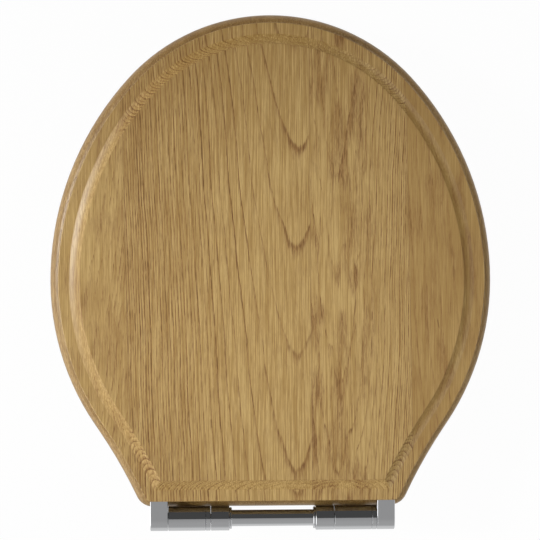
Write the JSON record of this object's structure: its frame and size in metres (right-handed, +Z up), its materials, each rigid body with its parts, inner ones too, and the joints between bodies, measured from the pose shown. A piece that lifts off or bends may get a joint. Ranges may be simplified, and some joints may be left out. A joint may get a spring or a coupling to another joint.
{
  "type": "toilet seat",
  "caption": "Closed oak toilet seat: lid with a raised field and moulded edge over a seat ring, on a chrome soft-close bar hinge with threaded fixings.",
  "frame": {"origin": "midway between the two fixing studs, on the plane where the gaskets meet the bowl", "axes": "+Z up from the bowl, +Y towards the front of the seat, +X to the right as the picture shows it with the hinge at the bottom"},
  "size_m": [0.375, 0.4362, 0.118],
  "materials": {
    "oak_lid": "satin lacquered oak",
    "oak_ring": "satin lacquered oak",
    "chrome": "polished chrome plate",
    "steel": "plain zinc-plated steel",
    "damper_plastic": "natural grey acetal",
    "black_rubber": "matt black rubber"
  },
  "bodies": {
    "mounting": {"left_pillar": "chrome", "right_pillar": "chrome", "left_damper_case": "damper_plastic", "right_damper_case": "damper_plastic", "left_damper_cap": "chrome", "right_damper_cap": "chrome", "left_gasket": "black_rubber", "right_gasket": "black_rubber", "left_fixing_stud": "steel", "right_fixing_stud": "steel", "left_cone_washer": "black_rubber", "right_cone_washer": "black_rubber", "left_flat_washer": "steel", "right_flat_washer": "steel", "left_wing_nut": "steel", "right_wing_nut": "steel"},
    "seat": {"seat_ring": "oak_ring", "left_seat_arm": "chrome", "right_seat_arm": "chrome", "hinge_bar": "chrome", "right_damper_rotor": "steel", "right_damper_seal": "black_rubber", "seat_arm_screws": "steel", "grub_screws": "steel", "seat_buffer_screws": "steel", "left_front_seat_buffer": "black_rubber", "right_front_seat_buffer": "black_rubber", "left_rear_seat_buffer": "black_rubber", "right_rear_seat_buffer": "black_rubber"},
    "lid": {"lid": "oak_lid", "left_lid_arm": "chrome", "right_lid_arm": "chrome", "right_lid_pivot": "steel", "left_damper_rotor": "steel", "left_damper_seal": "black_rubber", "lid_arm_screws": "steel", "lid_buffer_screws": "steel", "left_lid_buffer": "black_rubber", "right_lid_buffer": "black_rubber"}
  },
  "joints": [
    {"name": "seat_hinge", "type": "hinge", "parent": "mounting", "child": "seat", "pos_m": [0, 0, 0.036], "axis": [1, 0, 0], "range_deg": [0, 95]},
    {"name": "lid_hinge", "type": "hinge", "parent": "seat", "child": "lid", "pos_m": [0, 0, 0.036], "axis": [1, 0, 0], "range_deg": [0, 100]}
  ]
}
